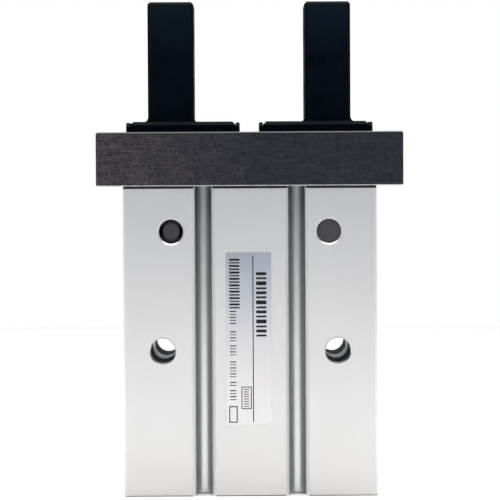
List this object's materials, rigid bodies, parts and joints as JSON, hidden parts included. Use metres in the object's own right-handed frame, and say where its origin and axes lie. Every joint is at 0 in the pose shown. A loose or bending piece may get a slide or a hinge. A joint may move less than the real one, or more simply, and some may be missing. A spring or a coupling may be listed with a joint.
{
  "type": "pneumatic parallel gripper",
  "caption": "Two-finger parallel gripper: a square air cylinder body with a linear ball guide on top that carries two upright fingers, opened and closed through levers.",
  "frame": {"origin": "centre of the body's bottom mounting face", "axes": "+Z from the mounting face towards the fingertips, +X along the finger stroke towards the side with the two air ports, -Y towards the front face that carries the label"},
  "size_m": [0.063, 0.0338, 0.1024],
  "materials": {
    "body_alloy": "matte clear-anodised",
    "rail_steel": "ground, black-treated",
    "finger_steel": "black-treated",
    "screw_steel": "black oxide",
    "bright_steel": "ground",
    "plain_alloy": "turned",
    "dark_alloy": "black-anodised",
    "magnet": "matte bonded magnet",
    "rubber": "satin moulded",
    "urethane": "satin moulded",
    "label_foil": "satin foil"
  },
  "bodies": {
    "housing": {"body": "body_alloy", "guide_rail": "rail_steel", "rail_screws": "screw_steel", "dowel_pins": "bright_steel", "left_lever_shaft": "bright_steel", "right_lever_shaft": "bright_steel", "end_cap": "dark_alloy", "cap_o_ring": "rubber", "retaining_ring": "screw_steel", "cap_bumper": "urethane", "rod_bumper": "urethane", "rod_seal": "rubber", "rating_label": "label_foil"},
    "piston_unit": {"piston": "plain_alloy", "piston_seal": "rubber", "magnet_ring": "magnet", "joint_bolt": "bright_steel"},
    "left_lever_arm": {"left_lever": "bright_steel"},
    "right_lever_arm": {"right_lever": "bright_steel"},
    "left_jaw": {"left_finger": "finger_steel", "left_front_balls": "bright_steel", "left_rear_balls": "bright_steel", "left_inner_stopper": "finger_steel", "left_outer_stopper": "finger_steel", "left_stopper_screws": "screw_steel"},
    "right_jaw": {"right_finger": "finger_steel", "right_front_balls": "bright_steel", "right_rear_balls": "bright_steel", "right_inner_stopper": "finger_steel", "right_outer_stopper": "finger_steel", "right_stopper_screws": "screw_steel"}
  },
  "joints": [
    {"name": "left_finger_slide", "type": "slide", "parent": "housing", "child": "left_jaw", "axis": [-1, 0, 0], "range_m": [-0.002, 0.005]},
    {"name": "right_finger_slide", "type": "slide", "parent": "housing", "child": "right_jaw", "axis": [1, 0, 0], "range_m": [-0.002, 0.005]},
    {"name": "left_lever_turn", "type": "hinge", "parent": "housing", "child": "left_lever_arm", "pos_m": [-0.0162, 0, 0.0545], "axis": [0, -1, 0], "range_deg": [-8.3, 20.7]},
    {"name": "right_lever_turn", "type": "hinge", "parent": "housing", "child": "right_lever_arm", "pos_m": [0.0162, 0, 0.0545], "axis": [0, 1, 0], "range_deg": [-8.3, 20.7]},
    {"name": "piston_stroke", "type": "slide", "parent": "housing", "child": "piston_unit", "axis": [0, 0, 1], "range_m": [-0.00172, 0.00429]}
  ],
  "couplings": [
    {"joint": "right_finger_slide", "follows": "left_finger_slide", "ratio": 1},
    {"joint": "left_lever_turn", "follows": "left_finger_slide", "rad_per_m": 72.194},
    {"joint": "right_lever_turn", "follows": "left_finger_slide", "rad_per_m": 72.194},
    {"joint": "piston_stroke", "follows": "left_finger_slide", "ratio": 0.85714}
  ]
}
